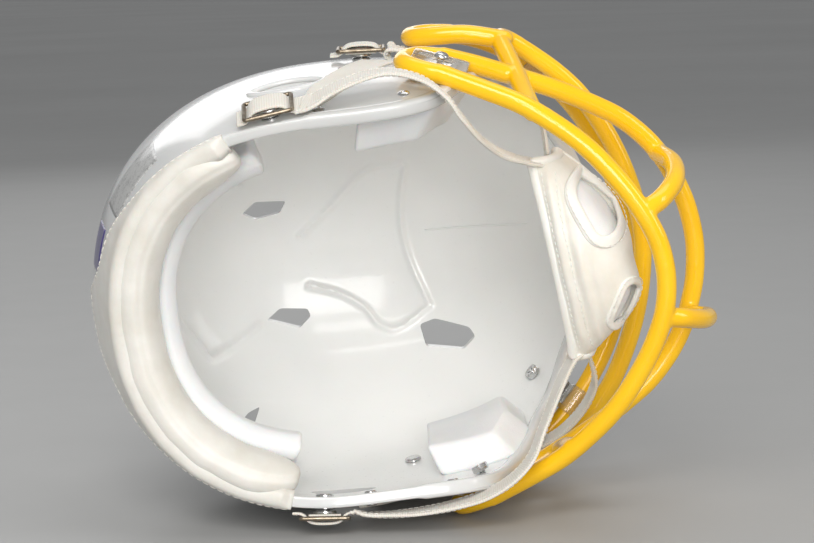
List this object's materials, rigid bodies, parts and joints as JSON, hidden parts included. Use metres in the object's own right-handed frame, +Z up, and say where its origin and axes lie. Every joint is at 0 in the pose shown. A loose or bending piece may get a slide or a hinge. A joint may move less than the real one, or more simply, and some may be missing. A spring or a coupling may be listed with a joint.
{
  "type": "football helmet",
  "caption": "Half-scale American football helmet lying on its side: hard shell, wire face mask, padded rim, chin cup on four straps with pull-off snaps.",
  "frame": {"origin": "centre of the resting footprint box, on the table", "axes": "+X towards the face mask, +Y towards the crown, +Z up, which is the wearer's right"},
  "size_m": [0.1678, 0.1167, 0.1305],
  "materials": {
    "shell_white": "gloss",
    "roll_vinyl": "satin",
    "pad_foam": "matt",
    "mask_coating": "gloss",
    "clear_plastic": "gloss",
    "screw_steel": "gloss",
    "label_grey": "satin",
    "patch_violet": "satin",
    "cup_vinyl": "satin",
    "cup_lining": "matt",
    "strap_webbing": "matt",
    "buckle_nickel": "satin",
    "snap_nickel": "gloss"
  },
  "bodies": {
    "helmet": {"shell": "shell_white", "neck_roll": "roll_vinyl", "rear_pad": "pad_foam", "jaw_pad_right": "pad_foam", "jaw_pad_left": "pad_foam", "jaw_bar": "mask_coating", "mouth_bar": "mask_coating", "lower_loop_right": "mask_coating", "lower_loop_left": "mask_coating", "eye_bar": "mask_coating", "side_leg_right": "mask_coating", "side_leg_left": "mask_coating", "brow_bar": "mask_coating", "upper_loop_right": "mask_coating", "upper_loop_left": "mask_coating", "front_strut_right": "mask_coating", "front_strut_left": "mask_coating", "brow_link_right": "mask_coating", "brow_link_left": "mask_coating", "side_clip_right": "clear_plastic", "side_clip_left": "clear_plastic", "brow_clip_right": "clear_plastic", "brow_clip_left": "clear_plastic", "clip_screws": "screw_steel", "clip_nuts": "screw_steel", "snap_studs": "snap_nickel", "jaw_rivets": "screw_steel", "rear_label": "label_grey", "rear_patch": "patch_violet", "strap_lower_right": "strap_webbing", "strap_lower_left": "strap_webbing", "strap_upper_right": "strap_webbing", "strap_upper_left": "strap_webbing", "strap_link_right": "strap_webbing", "strap_link_left": "strap_webbing"},
    "chin_cup": {"chin_cup": "cup_vinyl", "cup_lining": "cup_lining"},
    "snap_lower_right": {"buckle_lower_right": "buckle_nickel", "snap_lower_right": "snap_nickel", "tab_lower_right": "strap_webbing"},
    "snap_lower_left": {"buckle_lower_left": "buckle_nickel", "snap_lower_left": "snap_nickel", "tab_lower_left": "strap_webbing"},
    "snap_upper_right": {"buckle_upper_right": "buckle_nickel", "snap_upper_right": "snap_nickel", "tab_upper_right": "strap_webbing"},
    "snap_upper_left": {"buckle_upper_left": "buckle_nickel", "snap_upper_left": "snap_nickel", "tab_upper_left": "strap_webbing"}
  },
  "joints": [
    {"name": "chin_cup_swing", "type": "hinge", "parent": "helmet", "child": "chin_cup", "pos_m": [-0.01418, -0.0247, 0.06081], "axis": [0.0974, 0.0593, -0.9935], "range_deg": [-12, 12], "deforming": ["strap_lower_right", "strap_lower_left", "strap_upper_right", "strap_upper_left"]},
    {"name": "snap_pull_lower_right", "type": "slide", "parent": "helmet", "child": "snap_lower_right", "axis": [-0.1961, -0.3394, 0.92], "range_m": [0, 0.004]},
    {"name": "snap_pull_lower_left", "type": "slide", "parent": "helmet", "child": "snap_lower_left", "axis": [-0.0104, -0.2263, -0.974], "range_m": [0, 0.004]},
    {"name": "snap_pull_upper_right", "type": "slide", "parent": "helmet", "child": "snap_upper_right", "axis": [-0.0188, -0.0523, 0.9985], "range_m": [0, 0.004]},
    {"name": "snap_pull_upper_left", "type": "slide", "parent": "helmet", "child": "snap_upper_left", "axis": [0.1754, 0.0659, -0.9823], "range_m": [0, 0.004]}
  ]
}
